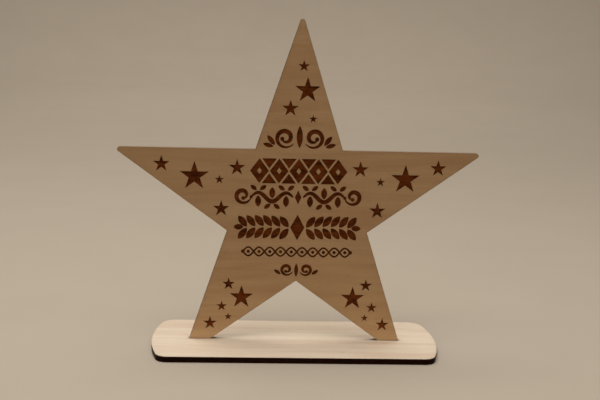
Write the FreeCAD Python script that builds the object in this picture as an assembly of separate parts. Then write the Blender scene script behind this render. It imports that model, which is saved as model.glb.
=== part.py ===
import FreeCAD, Part
import math
import os
from FreeCAD import Vector

# Star trophy: a five-pointed star of laser-cut 3 mm plywood, standing on two tenons in the
# slots of a flat plywood base. Each panel is three plies of birch veneer, and each ply is a
# solid of its own. The star's front ply carries the laser engraving as shallow pockets.
#
# Millimetres. +Z is up, +X is the viewer's right and the star's front faces -Y. The origin is
# the centre of the base's underside.

# ---- driving dimensions ------------------------------------------------------------------
PANEL = 3.0                     # plywood thickness
FACE_PLY = 0.8                  # each outer ply; the core ply is what is left

STAR_RADIUS = 100.0             # centre to the sharp corner of an arm
TIP_ROUND = 1.2                 # rounding of the arm tips
STAR_CENTRE_Z = 73.5            # height of the star's centre above the floor

BASE_WIDTH = 150.0              # over the middle of the bowed ends
BASE_DEPTH = 60.0
BASE_END_RADIUS = 90.0          # bow of each end
BASE_CORNER = 6.0               # rounding between an end and a long side

TENON_WIDTH = 7.8
TENON_OUTER_X = 54.8            # far side of each tenon from the middle
SLOT_GAP = 0.05                 # clearance round each tenon, per side

ENGRAVING = 0.3                 # depth burnt into the front ply

# ---- values that follow from them --------------------------------------------------------
HALF = PANEL / 2
CORE_PLY = PANEL - 2 * FACE_PLY
NOTCH_RADIUS = STAR_RADIUS * math.sin(math.radians(18)) / math.cos(math.radians(36))
TENON_INNER_X = TENON_OUTER_X - TENON_WIDTH
FOOT_Z = PANEL - STAR_CENTRE_Z  # foot line, measured from the star's centre
TENON_Z = -STAR_CENTRE_Z        # tenon ends, flush with the base's underside

# ---- engraved stars: x, z from the star's centre, and radius -----------------------------
TOP_ARM_STARS = [(1.2, 73.8, 3.15), (3.4, 61.7, 6.85), (-5.1, 52.3, 4.5), (6.6, 47.1, 2.3)]
ROW_END_STARS = [(31.7, 21.4, 4.5)]             # and their mirror images
SIDE_ARM_STARS = [(71.1, 22.7, 4.5), (54.3, 16.6, 7.85), (41.5, 15.0, 2.5), (40.4, -0.2, 4.5)]
FOOT_STARS = [(36.0, -40.4, 3.5), (29.2, -47.5, 6.5), (39.5, -52.5, 2.95),
              (36.0, -58.2, 2.1), (45.5, -61.8, 3.75)]
ARM_STARS_MIDDLE_X = 0.85                       # arm and foot stars mirror about this line


# ---- outlines in the star's own plane ----------------------------------------------------
def at(x, z, y=0.0):
    """A point given from the star's centre."""
    return Vector(x, y, STAR_CENTRE_Z + z)


def polar(radius, degrees):
    angle = math.radians(degrees)
    return (radius * math.cos(angle), radius * math.sin(angle))


def polygon(corners):
    points = [at(x, z) for x, z in corners]
    return Part.Face(Part.makePolygon(points + points[:1]))


def rounded_outline(corners):
    """A closed outline of straight sides. Each corner is (x, z, radius of its rounding)."""
    edges = []
    starts = []
    ends = []
    for i, (x, z, radius) in enumerate(corners):
        corner = at(x, z)
        before = (at(*corners[i - 1][:2]) - corner).normalize()
        after = (at(*corners[(i + 1) % len(corners)][:2]) - corner).normalize()
        half_angle = before.getAngle(after) / 2
        reach = radius / math.tan(half_angle)
        starts.append(corner + before * reach)
        ends.append(corner + after * reach)
        if radius:
            middle = (before + after).normalize()
            crown = corner + middle * (radius / math.sin(half_angle) - radius)
            edges.append(Part.Arc(starts[-1], crown, ends[-1]).toShape())
    for i, end in enumerate(ends):
        edges.append(Part.makeLine(end, starts[(i + 1) % len(starts)]))
    return Part.Face(Part.Wire(Part.__sortEdges__(edges)))


def small_star(x, z, radius):
    inner = radius * NOTCH_RADIUS / STAR_RADIUS
    corners = []
    for i in range(10):
        dx, dz = polar(inner if i % 2 else radius, 90 + 36 * i)
        corners.append((x + dx, z + dz))
    return polygon(corners)


def diamond(x, z, half_width, half_height):
    return polygon([(x - half_width, z), (x, z - half_height), (x + half_width, z), (x, z + half_height)])


def disc(x, z, radius):
    return Part.Face(Part.Wire(Part.makeCircle(radius, at(x, z), Vector(0, 1, 0))))


def leaf(x, z, length, width, degrees):
    """A pointed leaf from its stalk end at x, z, between two arcs."""
    along = polar(1.0, degrees)
    across = (-along[1], along[0])
    stalk = at(x, z)
    tip = at(x + length * along[0], z + length * along[1])
    sides = []
    for bulge in (width / 2, -width / 2):
        belly = at(x + 0.45 * length * along[0] + bulge * across[0],
                   z + 0.45 * length * along[1] + bulge * across[1])
        sides.append(Part.Arc(stalk, belly, tip).toShape())
    return Part.Face(Part.Wire(Part.__sortEdges__(sides)))


def stroke(centre_line, width, count):
    """A pen stroke: centre_line(u) gives x, z and width(u) the width, for u from 0 to 1."""
    step = 1e-4
    left = []
    right = []
    for i in range(count + 1):
        u = i / count
        x, z = centre_line(u)
        ahead = centre_line(u + step)
        behind = centre_line(u - step)
        run = math.hypot(ahead[0] - behind[0], ahead[1] - behind[1])
        across = ((behind[1] - ahead[1]) / run, (ahead[0] - behind[0]) / run)
        half = width(u) / 2
        left.append(at(x + half * across[0], z + half * across[1]))
        right.append(at(x - half * across[0], z - half * across[1]))
    sides = []
    for points in (left, right):
        curve = Part.BSplineCurve()
        curve.interpolate(points)
        sides.append(curve.toShape())
    caps = [Part.makeLine(left[0], right[0]), Part.makeLine(left[-1], right[-1])]
    return Part.Face(Part.Wire(Part.__sortEdges__(sides + caps)))


def mirrored(faces):
    """The faces and their mirror images across the star's upright centre line."""
    return faces + [face.mirror(at(0, 0), Vector(1, 0, 0)) for face in faces]


# ---- engraved ornament, row by row from the top ------------------------------------------
def scroll(x, z, outer, inner, start, turns, thick):
    """A spiral stroke round x, z that swells in its middle and ends in a round drop."""
    def centre_line(u):
        dx, dz = polar(outer + (inner - outer) * u, start + 360 * turns * u)
        return (x + dx, z + dz)

    def width(u):
        return 0.5 + (thick - 0.5) * math.sin(math.pi * max(0.0, min(u, 1.0)))

    drop_x, drop_z = centre_line(1.0)
    return [stroke(centre_line, width, 24), disc(drop_x, drop_z, 0.45 * thick)]


def upper_flourish():
    """A pair of scrolls either side of an upright leaf, with sprigs at the ends."""
    half = scroll(7.4, 37.2, 5.2, 1.6, 215, 1.35, 2.4)
    half += [leaf(12.6, 33.4, 6.4, 2.5, 52), leaf(13.3, 32.6, 5.6, 2.2, 16)]
    return mirrored(half) + [leaf(0, 32.0, 11.6, 3.2, 90)]


def diamond_band():
    """Five bold diamonds with a hollow heart, and darts between them."""
    faces = []
    for i in range(5):
        x = 10.1 * (i - 2)
        heart = diamond(x, 20.0, 1.2, 1.65)
        faces.append(diamond(x, 20.0, 4.8, 6.5).cut(heart))
    for i in range(4):
        x = 10.1 * (i - 1.5)
        faces.append(polygon([(x - 3.8, 26.5), (x, 21.3), (x + 3.8, 26.5)]))
        faces.append(polygon([(x - 3.8, 13.5), (x, 18.7), (x + 3.8, 13.5)]))
    return faces


def vine():
    """A waving stem with leaves in and over its bends, then a knot and a scroll at each end."""
    level = 6.3
    sway = 2.3
    start_x = 2.6
    bend_width = 7.2

    def centre_line(u):
        return (start_x + 3 * bend_width * u, level + sway * math.sin(3 * math.pi * u))

    def width(u):
        return 0.6 + 1.7 * math.sqrt(abs(math.sin(math.pi * u)))

    half = [stroke(centre_line, width, 24)]
    for bend in range(3):
        x = start_x + bend_width * (bend + 0.5)
        side = -1 if bend % 2 else 1
        half.append(leaf(x, level + (sway - 1.5) * side, 6.0, 3.1, -90 * side))
        for lean in (38, 142):
            reach = 0.8 if lean < 90 else -0.8
            half.append(leaf(x + reach, level + (sway + 1.3) * side, 4.1, 2.2, lean * side))
    end_x = start_x + 3 * bend_width
    half += scroll(end_x + 4.3, level + 0.6, 4.4, 1.4, 188, 1.2, 2.3)
    half.append(disc(end_x, level, 0.85))
    return mirrored(half) + [diamond(0, level, 1.7, 3.7)]


def laurel():
    """Two laurel sprigs that spread from a diamond in the middle."""
    half = []
    for i in range(6):
        x = 4.6 + 4.3 * i
        z = -9.9 + 0.5 * math.sin(math.pi * i / 5)
        half.append(leaf(x, z + 0.3, 7.4, 3.5, 52))
        half.append(leaf(x, z - 0.3, 7.4, 3.5, -52))
    half.append(leaf(28.0, -9.7, 5.0, 3.0, 0))
    return mirrored(half) + [diamond(0, -9.6, 3.7, 6.8)]


def cable_band():
    """Two thin waves that cross, with a bead in every eye."""
    eyes = 10
    half_width = 28.0
    faces = []
    for side in (1, -1):
        def centre_line(u, side=side):
            x = half_width * (2 * u - 1)
            return (x, -22.7 + side * 2.3 * math.sin(math.pi * eyes * u))
        faces.append(stroke(centre_line, lambda u: 0.9, 8 * eyes))
    for i in range(eyes):
        faces.append(disc(half_width * ((2 * i + 1) / eyes - 1), -22.7, 0.85))
    return faces + [disc(-half_width, -22.7, 1.0), disc(half_width, -22.7, 1.0)]


def lower_flourish():
    """A small pair of scrolls under a leaf."""
    half = scroll(5.0, -32.2, 3.2, 1.1, 205, 1.25, 1.8)
    half.append(leaf(8.1, -34.7, 4.2, 1.8, 35))
    return mirrored(half) + [leaf(0, -36.2, 7.4, 2.1, 90)]


def engraving_outlines():
    faces = []
    for x, z, radius in TOP_ARM_STARS:
        faces.append(small_star(x, z, radius))
    for side in (1, -1):
        for x, z, radius in ROW_END_STARS:
            faces.append(small_star(side * x, z, radius))
        for x, z, radius in SIDE_ARM_STARS + FOOT_STARS:
            faces.append(small_star(ARM_STARS_MIDDLE_X + side * x, z, radius))
    for row in (upper_flourish, diamond_band, vine, laurel, cable_band, lower_flourish):
        faces += row()
    return faces


# ---- the star panel ----------------------------------------------------------------------
def star_outline():
    """A regular five-pointed star whose two lower arms are cut off flat above a tenon."""
    top = polar(STAR_RADIUS, 90)
    right = polar(STAR_RADIUS, 18)
    shoulder = polar(NOTCH_RADIUS, 54)
    waist = polar(NOTCH_RADIUS, -18)
    arch = polar(NOTCH_RADIUS, -90)
    lower_tip = polar(STAR_RADIUS, -54)

    def on_foot_line(start):
        share = (FOOT_Z - start[1]) / (lower_tip[1] - start[1])
        return start[0] + share * (lower_tip[0] - start[0])

    half = [(*shoulder, 0), (*right, TIP_ROUND), (*waist, 0),
            (on_foot_line(waist), FOOT_Z, 0),
            (TENON_OUTER_X, FOOT_Z, 0),
            (TENON_OUTER_X, TENON_Z, 0),
            (TENON_INNER_X, TENON_Z, 0),
            (TENON_INNER_X, FOOT_Z, 0),
            (on_foot_line(arch), FOOT_Z, 0)]
    other_half = [(-x, z, radius) for x, z, radius in reversed(half)]
    return rounded_outline([(*top, TIP_ROUND)] + half + [(*arch, 0)] + other_half)


def star_ply(front_y, thickness):
    ply = star_outline()
    ply.translate(Vector(0, front_y, 0))
    return ply.extrude(Vector(0, thickness, 0))


def engraved(ply):
    """The ply with every engraved outline burnt into its front face."""
    lead_in = 0.5
    pockets = []
    for face in engraving_outlines():
        face.translate(Vector(0, -HALF - lead_in, 0))
        pockets.append(face.extrude(Vector(0, lead_in + ENGRAVING, 0)))
    return ply.cut(pockets[0].multiFuse(pockets[1:]).removeSplitter())


# ---- the base panel ----------------------------------------------------------------------
def base_outline():
    """Two straight long sides, bowed ends and rounded corners, on the floor plane."""
    side_y = BASE_DEPTH / 2
    bow_centre_x = BASE_WIDTH / 2 - BASE_END_RADIUS
    corner_y = side_y - BASE_CORNER
    reach = BASE_END_RADIUS - BASE_CORNER
    run = math.sqrt(reach ** 2 - corner_y ** 2)
    corner_x = bow_centre_x + run
    bow_x = bow_centre_x + BASE_END_RADIUS * run / reach
    bow_y = BASE_END_RADIUS * corner_y / reach
    crown = math.atan2(corner_y, run) / 2 + math.pi / 4
    crown_x = corner_x + BASE_CORNER * math.cos(crown)
    crown_y = corner_y + BASE_CORNER * math.sin(crown)

    edges = []
    for end in (1, -1):
        for side in (1, -1):
            edges.append(Part.Arc(Vector(end * corner_x, side * side_y, 0),
                                  Vector(end * crown_x, side * crown_y, 0),
                                  Vector(end * bow_x, side * bow_y, 0)).toShape())
        edges.append(Part.Arc(Vector(end * bow_x, bow_y, 0),
                              Vector(end * BASE_WIDTH / 2, 0, 0),
                              Vector(end * bow_x, -bow_y, 0)).toShape())
    for side in (1, -1):
        edges.append(Part.makeLine(Vector(-corner_x, side * side_y, 0),
                                   Vector(corner_x, side * side_y, 0)))
    return Part.Face(Part.Wire(Part.__sortEdges__(edges)))


def base_ply(bottom_z, thickness):
    ply = base_outline()
    ply.translate(Vector(0, 0, bottom_z))
    ply = ply.extrude(Vector(0, 0, thickness))
    length = TENON_WIDTH + 2 * SLOT_GAP
    width = PANEL + 2 * SLOT_GAP
    for start_x in (TENON_INNER_X - SLOT_GAP, -TENON_OUTER_X - SLOT_GAP):
        ply = ply.cut(Part.makeBox(length, width, PANEL * 3, Vector(start_x, -width / 2, -PANEL)))
    return ply


# ---- every ply as its own STEP file ------------------------------------------------------
def build():
    return {
        "star_front_veneer": engraved(star_ply(-HALF, FACE_PLY)),
        "star_core_veneer": star_ply(-HALF + FACE_PLY, CORE_PLY),
        "star_back_veneer": star_ply(HALF - FACE_PLY, FACE_PLY),
        "base_top_veneer": base_ply(PANEL - FACE_PLY, FACE_PLY),
        "base_core_veneer": base_ply(FACE_PLY, CORE_PLY),
        "base_bottom_veneer": base_ply(0.0, FACE_PLY),
    }


os.makedirs("parts", exist_ok=True)
for name, shape in build().items():
    solid = shape.Solids[0]
    print(name, "solids", len(shape.Solids), "valid", shape.isValid(), "mm3", round(solid.Volume, 1))
    solid.exportStep(os.path.join("parts", name + ".step"))
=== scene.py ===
import math
import bpy
from mathutils import Matrix, Vector


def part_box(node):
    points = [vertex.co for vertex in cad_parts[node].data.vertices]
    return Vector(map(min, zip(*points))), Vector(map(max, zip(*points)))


# Star trophy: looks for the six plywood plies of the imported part. Metres, in the part's frame:
# +Z up, the star's engraved front faces -Y, and the origin is under the middle of the base.

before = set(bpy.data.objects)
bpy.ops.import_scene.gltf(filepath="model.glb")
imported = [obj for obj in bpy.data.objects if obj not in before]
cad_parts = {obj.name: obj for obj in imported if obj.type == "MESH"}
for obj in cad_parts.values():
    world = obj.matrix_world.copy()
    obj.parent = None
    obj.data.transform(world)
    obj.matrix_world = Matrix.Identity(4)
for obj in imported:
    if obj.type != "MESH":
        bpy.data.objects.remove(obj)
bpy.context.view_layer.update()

MM = 0.001
STAR_POINTS = 5
STAR_RADIUS = 100.0                 # millimetres, from here to the end of this block
STAR_CENTRE_Z = 73.5
BASE_HALF_DEPTH = 30.0
BASE_END_RADIUS = 90.0
BASE_CORNER = 6.0
SLOT_CENTRE_X = 50.9
SLOT_HALF_LENGTH = 3.95
SLOT_HALF_WIDTH = 1.55
# The strip on the base's top around each foot that is darkened as painted contact shadow.
FOOT_SHADE_CENTRE_X = 48.85
FOOT_SHADE_HALF_LENGTH = 6.55
FOOT_SHADE_HALF_WIDTH = 1.1
FOOT_SHADE_FADE = 0.5
BURNT_LINE = 0.2                    # how far the line and the smoke at a cut edge reach
SMOKE_REACH = 3.0
ENGRAVING = 0.3
LASER_PITCH = 0.5
RING_SPACING = 7.5
FLAT = 0.02                         # a face that rises less than this is flat


# ---- a small kit for node trees ----------------------------------------------------------
class Graph:
    """One material's node tree. Values are sockets or plain numbers."""

    def __init__(self, name):
        self.material = bpy.data.materials.new(name)
        self.material.use_nodes = True
        self.tree = self.material.node_tree
        self.shader = self.tree.nodes["Principled BSDF"]

    def node(self, kind, inputs=(), **settings):
        made = self.tree.nodes.new(kind)
        for name, value in settings.items():
            setattr(made, name, value)
        for index, value in enumerate(inputs):
            self.feed(made.inputs[index], value)
        return made

    def feed(self, socket, value):
        if value is None:
            return
        if isinstance(value, bpy.types.NodeSocket):
            self.tree.links.new(value, socket)
        else:
            socket.default_value = value

    def math(self, operation, a, b=None, c=None):
        return self.node("ShaderNodeMath", (a, b, c), operation=operation).outputs[0]

    def vector(self, operation, a, b=None):
        return self.node("ShaderNodeVectorMath", (a, b), operation=operation).outputs[0]

    def millimetres(self, offset=(0, 0, 0)):
        """The part's own coordinates in millimetres."""
        place = self.node("ShaderNodeTexCoord").outputs["Object"]
        return self.vector("ADD", self.vector("MULTIPLY", place, (1000, 1000, 1000)), offset)

    def split(self, vector):
        return self.node("ShaderNodeSeparateXYZ", (vector,)).outputs

    def noise(self, vector, size, detail=2.0, rough=0.5, distortion=0.0):
        """Noise whose features are about size = (x, y, z) millimetres, from 0 to 1."""
        scale = [1 / s for s in size]
        made = self.node("ShaderNodeTexNoise", (self.vector("MULTIPLY", vector, scale),))
        made.inputs["Scale"].default_value = 1.0
        made.inputs["Detail"].default_value = detail
        made.inputs["Roughness"].default_value = rough
        made.inputs["Distortion"].default_value = distortion
        return made.outputs["Fac"]

    def band(self, value, low, high, to_low=0.0, to_high=1.0):
        """value from low..high to to_low..to_high, clamped."""
        made = self.node("ShaderNodeMapRange", (value, low, high, to_low, to_high))
        return made.outputs[0]

    def mix(self, factor, a, b):
        """Mixes two colours. Inputs 6 and 7 and output 2 are the node's colour sockets."""
        made = self.node("ShaderNodeMix", data_type="RGBA")
        self.feed(made.inputs[0], factor)
        self.feed(made.inputs[6], a if isinstance(a, bpy.types.NodeSocket) else (*a, 1))
        self.feed(made.inputs[7], b if isinstance(b, bpy.types.NodeSocket) else (*b, 1))
        return made.outputs[2]

    def finish(self, colour, roughness, height=None, depth=0.0):
        """Feeds the shader. height is 0 to 1 and depth is its size in millimetres."""
        self.feed(self.shader.inputs["Base Color"], colour)
        self.feed(self.shader.inputs["Roughness"], roughness)
        if height is not None:
            bump = self.node("ShaderNodeBump")
            bump.inputs["Strength"].default_value = 1.0
            bump.inputs["Distance"].default_value = depth * MM
            self.feed(bump.inputs["Height"], height)
            self.feed(self.shader.inputs["Normal"], bump.outputs[0])
        return self.material


# ---- how far a point on a panel is from its cut edge, in millimetres ----------------------
def star_edge_distance(g):
    """The star lies inside at least four of the five lines through its sides, so the second
    smallest of the five distances is the distance to the outline."""
    place = g.split(g.millimetres((0, 0, -STAR_CENTRE_Z)))
    centre_to_line = STAR_RADIUS * math.sin(math.radians(18))
    nearest = second = 10 * STAR_RADIUS
    for i in range(STAR_POINTS):
        angle = math.radians(90 + 360 / STAR_POINTS * i)
        along = g.math("MULTIPLY", place[0], math.cos(angle))
        along = g.math("MULTIPLY_ADD", place[2], math.sin(angle), along)
        distance = g.math("SUBTRACT", centre_to_line, along)
        second = g.math("MINIMUM", second, g.math("MAXIMUM", nearest, distance))
        nearest = g.math("MINIMUM", nearest, distance)
    return g.math("MAXIMUM", second, 0.0)


def base_edge_distance(g):
    """Distance to the base's outline with its bowed ends and rounded corners, or to a slot."""
    place = g.split(g.millimetres())
    x = g.math("ABSOLUTE", place[0])
    y = g.math("ABSOLUTE", place[1])
    to_side = g.math("SUBTRACT", BASE_HALF_DEPTH, y)
    half_width = (cad_base_high.x - cad_base_low.x) / 2 / MM
    from_bow_centre = g.math("ADD", x, BASE_END_RADIUS - half_width)
    reach = g.math("SQRT", g.math("ADD", g.math("POWER", from_bow_centre, 2.0),
                                  g.math("POWER", y, 2.0)))
    to_end = g.math("SUBTRACT", BASE_END_RADIUS, reach)
    near_side = g.math("MAXIMUM", g.math("SUBTRACT", BASE_CORNER, to_side), 0.0)
    near_end = g.math("MAXIMUM", g.math("SUBTRACT", BASE_CORNER, to_end), 0.0)
    corner = g.math("SQRT", g.math("ADD", g.math("POWER", near_side, 2.0),
                                   g.math("POWER", near_end, 2.0)))
    to_outline = g.math("SUBTRACT", BASE_CORNER, corner)
    past_slot_end = g.math("ABSOLUTE", g.math("SUBTRACT", x, SLOT_CENTRE_X))
    to_slot = g.math("MAXIMUM", g.math("SUBTRACT", past_slot_end, SLOT_HALF_LENGTH),
                     g.math("SUBTRACT", y, SLOT_HALF_WIDTH))
    return g.math("MAXIMUM", g.math("MINIMUM", to_outline, to_slot), 0.0)


def foot_shade_distance(g):
    """Distance on the base's top face to the strip of painted contact shadow at the nearer foot.
    It lies under the foot and reaches 2 mm past the foot's inner corner."""
    place = g.split(g.millimetres())
    along = g.math("ABSOLUTE", g.math("SUBTRACT", g.math("ABSOLUTE", place[0]), FOOT_SHADE_CENTRE_X))
    across = g.math("ABSOLUTE", place[1])
    beyond = g.math("MAXIMUM", g.math("SUBTRACT", along, FOOT_SHADE_HALF_LENGTH),
                    g.math("SUBTRACT", across, FOOT_SHADE_HALF_WIDTH))
    return g.math("MAXIMUM", beyond, 0.0)


# ---- materials ---------------------------------------------------------------------------
def birch_face(name, light, dark, seed, edge_distance, burn, smoke, soot_and_shade=None):
    """Sanded birch veneer with its grain along X. burn is how dark the fine line at the cut
    edge is, and smoke how strongly the fumes have stained the face beyond that line. The last
    argument gives the distance to a place darkened with painted contact shadow."""
    g = Graph(name)
    place = g.millimetres(seed)
    axes = g.split(place)

    warp = g.noise(place, (85, 26, 26), 2.0, 0.5, 0.4)
    across_grain = g.math("ADD", axes[1], axes[2])
    ring = g.math("MULTIPLY_ADD", warp, 3.2, g.math("DIVIDE", across_grain, RING_SPACING))
    ring = g.math("SINE", g.math("MULTIPLY", ring, 2 * math.pi))
    ring = g.band(ring, -0.2, 1.0)
    cloud = g.noise(place, (95, 17, 17), 3.0, 0.55)
    streak = g.noise(place, (26, 1.1, 1.1), 4.0, 0.6, 0.15)
    fibre = g.noise(place, (7, 0.3, 0.3), 3.0, 0.65)
    pores = g.band(g.noise(place, (3.2, 0.17, 0.17), 1.0, 0.5), 0.66, 0.74)
    fleck = g.band(g.noise(place, (7.5, 1.5, 1.5), 1.0, 0.4), 0.735, 0.80)
    vein = g.band(g.noise(place, (60, 2.6, 2.6), 3.0, 0.5, 0.3), 0.60, 0.76)
    heart = g.band(g.noise(place, (75, 8, 8), 2.0, 0.45, 0.3), 0.46, 0.68)

    tone = g.math("MULTIPLY", ring, 0.22)
    tone = g.math("MULTIPLY_ADD", g.band(cloud, 0.3, 0.7), 0.36, tone)
    tone = g.math("MULTIPLY_ADD", g.band(streak, 0.3, 0.7), 0.34, tone)
    tone = g.math("MULTIPLY_ADD", g.band(fibre, 0.25, 0.75), 0.12, tone)
    colour = g.mix(tone, light, dark)
    heartwood = [c * k for c, k in zip(dark, (0.93, 0.84, 0.80))]
    colour = g.mix(g.math("MULTIPLY", heart, 0.5), colour, heartwood)
    brown = [c * k for c, k in zip(dark, (0.55, 0.45, 0.38))]
    colour = g.mix(g.math("MULTIPLY", vein, 0.16), colour, brown)
    colour = g.mix(g.math("MULTIPLY", pores, 0.38), colour, brown)
    colour = g.mix(g.math("MULTIPLY", fleck, 0.34), colour, brown)

    distance = edge_distance(g)
    ragged = g.band(g.noise(place, (2.4, 2.4, 2.4), 3.0, 0.6), 0.3, 0.7, 0.45, 1.25)
    line = g.math("EXPONENT", g.math("DIVIDE", distance, g.math("MULTIPLY", ragged, -BURNT_LINE)))
    haze = g.math("EXPONENT", g.math("DIVIDE", distance, g.math("MULTIPLY", ragged, -SMOKE_REACH)))
    colour = g.mix(g.math("MULTIPLY", haze, smoke), colour, [c * 0.42 for c in dark])
    colour = g.mix(g.math("MULTIPLY", line, burn), colour, BURNT)
    # Painted contact shadow: darkens the base around each foot and past its inner corner.
    if soot_and_shade:
        foot_shade_mask = g.math("EXPONENT", g.math("MULTIPLY", soot_and_shade(g), -1 / FOOT_SHADE_FADE))
        colour = g.mix(g.math("MULTIPLY", foot_shade_mask, 0.8), colour, FOOT_SHADE)

    height = g.math("MULTIPLY_ADD", pores, -0.7, g.math("MULTIPLY", fibre, 0.5))
    height = g.math("MULTIPLY_ADD", streak, 0.5, height)
    roughness = g.band(streak, 0.2, 0.8, 0.44, 0.58)
    g.shader.inputs["Specular IOR Level"].default_value = 0.45
    return g.finish(colour, roughness, height, depth=0.035)


def charred_edge(name, thin_axis, brown, black, seed, glue_lines, gloss, painted_top_sheen=None):
    """A laser-cut edge: charred, with fine striations straight through the panel and a dark
    line at each glue line, given in millimetres along the panel's thin axis. The last argument
    is a lighter brown painted on an edge that faces straight up: a painted highlight for the
    overhead light that such an edge catches and mirrors."""
    g = Graph(name)
    place = g.millimetres(seed)
    fine = [0.32, 0.32, 0.32]
    fine[thin_axis] = 9.0
    coarse = [2.6, 2.6, 2.6]
    coarse[thin_axis] = 6.0
    striation = g.noise(place, fine, 2.0, 0.6)
    patch = g.noise(place, coarse, 3.0, 0.55)
    soot_and_shade = g.noise(place, (0.5, 0.5, 0.5), 4.0, 0.7)
    tone = g.math("MULTIPLY", g.band(patch, 0.32, 0.72), 0.6)
    tone = g.math("MULTIPLY_ADD", g.band(striation, 0.35, 0.7), 0.35, tone)
    tone = g.math("MULTIPLY_ADD", g.band(soot_and_shade, 0.5, 0.75), 0.2, tone)
    colour = g.mix(tone, black, brown)
    # Rims facing up get a lighter brown: a painted highlight of the overhead light they catch.
    if painted_top_sheen:
        facing_up = g.split(g.node("ShaderNodeTexCoord").outputs["Normal"])[2]
        painted_sheen = g.mix(tone, [c * 0.6 for c in painted_top_sheen], painted_top_sheen)
        colour = g.mix(g.band(facing_up, 0.5, 0.9), colour, painted_sheen)
    depth = g.split(g.millimetres())[thin_axis]
    height = g.math("MULTIPLY_ADD", striation, 0.8, g.math("MULTIPLY", soot_and_shade, 0.3))
    for level in glue_lines:
        away = g.math("ABSOLUTE", g.math("SUBTRACT", depth, level))
        glue = g.band(away, 0.03, 0.10, 1.0, 0.0)
        colour = g.mix(g.math("MULTIPLY", glue, 0.75), colour, [c * 0.35 for c in black])
        height = g.math("MULTIPLY_ADD", glue, -0.5, height)
    roughness = g.band(striation, 0.3, 0.7, 0.32, 0.5)
    g.shader.inputs["Specular IOR Level"].default_value = gloss
    return g.finish(colour, roughness, height, depth=0.08)


def engraved_floor(name):
    """The floor of the engraving: burnt dark brown in fine level passes of the laser."""
    g = Graph(name)
    place = g.millimetres((3, 0, 11))
    level = g.split(place)[2]
    passes = g.math("SINE", g.math("MULTIPLY", level, 2 * math.pi / LASER_PITCH))
    streak = g.noise(place, (9, 0.7, 0.7), 4.0, 0.6)
    cloud = g.noise(place, (4.5, 3, 3), 3.0, 0.6)
    grit = g.noise(place, (0.35, 0.35, 0.2), 3.0, 0.7)
    tone = g.math("MULTIPLY", g.band(streak, 0.36, 0.64), 0.42)
    tone = g.math("MULTIPLY_ADD", g.band(cloud, 0.40, 0.60), 0.42, tone)
    tone = g.math("MULTIPLY_ADD", g.band(passes, -1.0, 1.0), 0.15, tone)
    tone = g.math("MULTIPLY_ADD", g.band(grit, 0.3, 0.7), 0.15, tone)
    colour = g.mix(tone, ENGRAVED_DARK, ENGRAVED_BROWN)
    height = g.math("MULTIPLY_ADD", passes, 0.2, g.math("MULTIPLY", grit, 0.7))
    height = g.math("MULTIPLY_ADD", streak, 0.5, height)
    g.shader.inputs["Specular IOR Level"].default_value = 0.03
    return g.finish(colour, g.band(grit, 0.2, 0.8, 0.62, 0.8), height, depth=0.05)


# ---- which part of a ply each face is ----------------------------------------------------
def add_slots(node, *materials):
    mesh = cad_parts[node].data
    mesh.materials.clear()
    for material in materials:
        mesh.materials.append(material)
    return mesh


def dress_star_ply(node, face, edge, floor=None, wall=None):
    """Flat faces get the veneer and rims the cut edge. On the engraved ply, what lies at the
    engraving's depth is its floor, and walls that stop there are its walls."""
    mesh = add_slots(node, *[m for m in (face, edge, floor, wall) if m])
    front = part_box(node)[0].y
    pocket = front + ENGRAVING * MM
    near = FLAT * MM
    for polygon in mesh.polygons:
        depths = [mesh.vertices[i].co.y for i in polygon.vertices]
        flat = max(depths) - min(depths) < near
        engraved = floor is not None and abs(max(depths) - pocket) < near
        if flat:
            polygon.material_index = 2 if engraved else 0
        else:
            polygon.material_index = 3 if engraved else 1


def dress_base_ply(node, face, edge):
    mesh = add_slots(node, face, edge)
    for polygon in mesh.polygons:
        heights = [mesh.vertices[i].co.z for i in polygon.vertices]
        polygon.material_index = 0 if max(heights) - min(heights) < FLAT * MM else 1


cad_base_low, cad_base_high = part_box("base_top_veneer")

# Colours are linear RGB. Each CHAR is a pair, brown and then black.
# The star's birch is darker and browner than the base's, though both are the same plywood: painted
# shade of the star's upright faces under the overhead light and its warm bounce.
STAR_SHADED_PALE, STAR_SHADED_DARK = (0.437, 0.276, 0.139), (0.342, 0.199, 0.090)
BASE_LIGHT, BASE_DARK = (0.74, 0.635, 0.505), (0.64, 0.515, 0.385)
STAR_CHAR = (0.125, 0.070, 0.036), (0.045, 0.022, 0.011)
STAR_CORE_CHAR = (0.085, 0.044, 0.021), (0.028, 0.013, 0.006)
BASE_CHAR = (0.038, 0.0105, 0.0035), (0.008, 0.0024, 0.0011)
BASE_CORE_CHAR = (0.024, 0.0065, 0.0022), (0.0055, 0.0018, 0.0009)
WALL_CHAR = (0.045, 0.018, 0.009), (0.016, 0.006, 0.003)
# Lighter browns for rims that face straight up: a painted highlight of the overhead light on them.
TOP_SHEEN, TOP_SHEEN_CORE = (0.30, 0.185, 0.105), (0.24, 0.14, 0.075)
ENGRAVED_DARK, ENGRAVED_BROWN = (0.018, 0.0028, 0.0006), (0.150, 0.036, 0.0065)
# The second colour on the next line is painted contact shadow around the feet.
BURNT, FOOT_SHADE = (0.055, 0.022, 0.010), (0.060, 0.026, 0.012)
FLOOR_DARK, FLOOR_LIGHT = (0.40, 0.345, 0.275), (0.43, 0.372, 0.30)
STAR_GLOSS, BASE_GLOSS = 0.1, 0.03

# Each panel is thin along one axis, and its glue lines lie at these places on that axis.
STAR_THIN, STAR_GLUE = 1, (-0.7, 0.7)
BASE_THIN, BASE_GLUE = 2, (0.8, 2.2)

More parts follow.
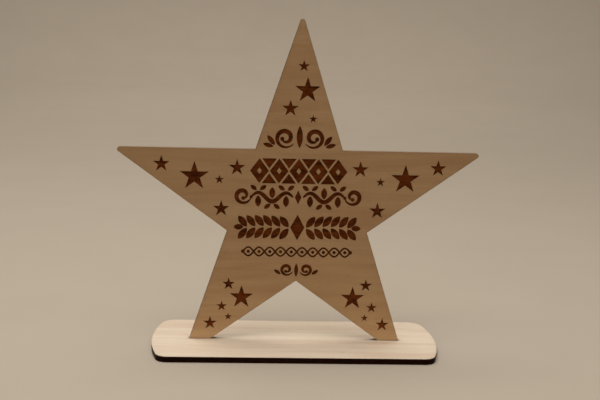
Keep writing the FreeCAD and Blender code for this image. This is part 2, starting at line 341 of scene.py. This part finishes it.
dress_star_ply(
    "star_front_veneer",
    birch_face("star_front_birch", STAR_SHADED_PALE, STAR_SHADED_DARK, (0, 0, 0), star_edge_distance,
               burn=0.45, smoke=0.05),
    charred_edge("star_front_rim", STAR_THIN, *STAR_CHAR, (0, 0, 0), STAR_GLUE, STAR_GLOSS,
                 TOP_SHEEN),
    engraved_floor("engraving_floor"),
    charred_edge("engraving_wall", STAR_THIN, *WALL_CHAR, (5, 0, 5), (), STAR_GLOSS),
)
dress_star_ply(
    "star_core_veneer",
    birch_face("star_core_birch", STAR_SHADED_PALE, STAR_SHADED_DARK, (70, 9, 31), star_edge_distance,
               burn=0.3, smoke=0.1),
    charred_edge("star_core_rim", STAR_THIN, *STAR_CORE_CHAR, (20, 0, 8), STAR_GLUE, STAR_GLOSS,
                 TOP_SHEEN_CORE),
)
dress_star_ply(
    "star_back_veneer",
    birch_face("star_back_birch", STAR_SHADED_PALE, STAR_SHADED_DARK, (220, 40, 17), star_edge_distance,
               burn=0.85, smoke=0.45),
    charred_edge("star_back_rim", STAR_THIN, *STAR_CHAR, (9, 0, 40), STAR_GLUE, STAR_GLOSS,
                 TOP_SHEEN),
)
dress_base_ply(
    "base_top_veneer",
    birch_face("base_top_birch", BASE_LIGHT, BASE_DARK, (400, 3, 60), base_edge_distance,
               burn=0.30, smoke=0.05, soot_and_shade=foot_shade_distance),
    charred_edge("base_top_rim", BASE_THIN, *BASE_CHAR, (2, 7, 0), BASE_GLUE, BASE_GLOSS),
)
dress_base_ply(
    "base_core_veneer",
    birch_face("base_core_birch", BASE_LIGHT, BASE_DARK, (500, 30, 6), base_edge_distance,
               burn=0.3, smoke=0.1),
    charred_edge("base_core_rim", BASE_THIN, *BASE_CORE_CHAR, (12, 3, 0), BASE_GLUE, BASE_GLOSS),
)
dress_base_ply(
    "base_bottom_veneer",
    birch_face("base_under_birch", BASE_LIGHT, BASE_DARK, (640, 70, 9), base_edge_distance,
               burn=0.85, smoke=0.45),
    charred_edge("base_bottom_rim", BASE_THIN, *BASE_CHAR, (30, 1, 0), BASE_GLUE, BASE_GLOSS),
)


# ---- stage: a pale dish, soft light and the camera -----------------------------------------
def dish():
    """A round floor that curves up into a low wall, the same from every side. It lies a hair
    under the base, so that the two faces don't coincide."""
    middle, flat_radius, bend, rise, hair = 0.02, 1.3, 0.6, 0.9, 0.05 * MM
    segments, bend_steps = 64, 12
    profile = [(middle, 0.0), (flat_radius, 0.0)]
    for i in range(1, bend_steps + 1):
        angle = math.pi / 2 * i / bend_steps
        profile.append((flat_radius + bend * math.sin(angle), bend * (1 - math.cos(angle))))
    profile.append((flat_radius + bend, rise))
    vertices = []
    for radius, z in profile:
        for i in range(segments):
            angle = 2 * math.pi * i / segments
            vertices.append((radius * math.cos(angle), radius * math.sin(angle), z - hair))
    faces = [list(range(segments))]
    for ring in range(len(profile) - 1):
        for i in range(segments):
            here, there = ring * segments + i, ring * segments + (i + 1) % segments
            faces.append((here, here + segments, there + segments, there))
    mesh = bpy.data.meshes.new("dish")
    mesh.from_pydata(vertices, [], faces)
    for polygon in mesh.polygons:
        polygon.use_smooth = True
    floor = bpy.data.objects.new("dish", mesh)
    bpy.context.collection.objects.link(floor)
    g = Graph("pale_floor")
    mottle = g.noise(g.millimetres(), (60, 60, 60), 3.0, 0.5)
    g.shader.inputs["Specular IOR Level"].default_value = 0.2
    mesh.materials.append(g.finish(g.mix(mottle, FLOOR_DARK, FLOOR_LIGHT), 0.75))


def area_light(name, place, target, size, energy, colour, spread=math.pi):
    data = bpy.data.lights.new(name, "AREA")
    data.shape = "RECTANGLE"
    data.size, data.size_y = size
    data.energy = energy
    data.color = colour
    data.spread = spread
    light = bpy.data.objects.new(name, data)
    light.location = place
    light.rotation_euler = (Vector(target) - Vector(place)).to_track_quat("-Z", "Y").to_euler()
    light.visible_camera = False
    bpy.context.collection.objects.link(light)


def lighting():
    """A softbox overhead, a weak warm glow off the base's top in front of the star, and four
    lights that reach only the floor around the trophy."""
    area_light("softbox", (-0.12, -0.02, 0.95), (0, 0, 0), size=(1.05, 0.65), energy=9.8,
               colour=(1.0, 0.975, 0.94))
    glow_y, glow_z = -0.0158, 0.0032    # just above the base's top
    area_light("base_glow", (0, glow_y, glow_z), (0, glow_y, 1), size=(0.146, 0.028),
               energy=0.0072, colour=(1.0, 0.88, 0.64))
    near, far = 1.15, 1.35
    for i in range(4):
        angle = math.pi / 2 * i
        x, y = math.cos(angle), math.sin(angle)
        area_light("wash_%d" % i, (near * x, near * y, 1.0), (far * x, far * y, 0),
                   size=(1.2, 0.5), energy=2.0, colour=(1.0, 0.97, 0.93),
                   spread=math.radians(100))
    world = bpy.data.worlds.new("studio")
    world.use_nodes = True
    background = world.node_tree.nodes["Background"]
    background.inputs["Color"].default_value = (0.80, 0.74, 0.66, 1)
    background.inputs["Strength"].default_value = 0.5
    bpy.context.scene.world = world


def camera():
    """Looks 3 degrees to the right and 11.7 down at the star, rolled 1.6 degrees."""
    yaw, pitch, roll = 0.0518, 0.2035, 0.0281
    star_centre = Vector((0, 0, STAR_CENTRE_Z * MM))
    place = star_centre + Vector((-0.0275, -0.5512, 0.1186))
    forward = Vector((math.sin(yaw) * math.cos(pitch), math.cos(yaw) * math.cos(pitch),
                      -math.sin(pitch)))
    right = Vector((math.cos(yaw), -math.sin(yaw), 0))
    down = forward.cross(right)
    x_axis = math.cos(roll) * right - math.sin(roll) * down
    y_axis = -(math.sin(roll) * right + math.cos(roll) * down)
    data = bpy.data.cameras.new("camera")
    data.sensor_width = 36.0
    data.lens = 65.35
    data.clip_start = 0.01
    eye = bpy.data.objects.new("camera", data)
    turn = Matrix((x_axis, y_axis, -forward)).transposed().to_4x4()
    eye.matrix_world = Matrix.Translation(place) @ turn
    bpy.context.collection.objects.link(eye)
    bpy.context.scene.camera = eye


dish()
lighting()
camera()
bpy.context.scene.view_settings.view_transform = "Standard"
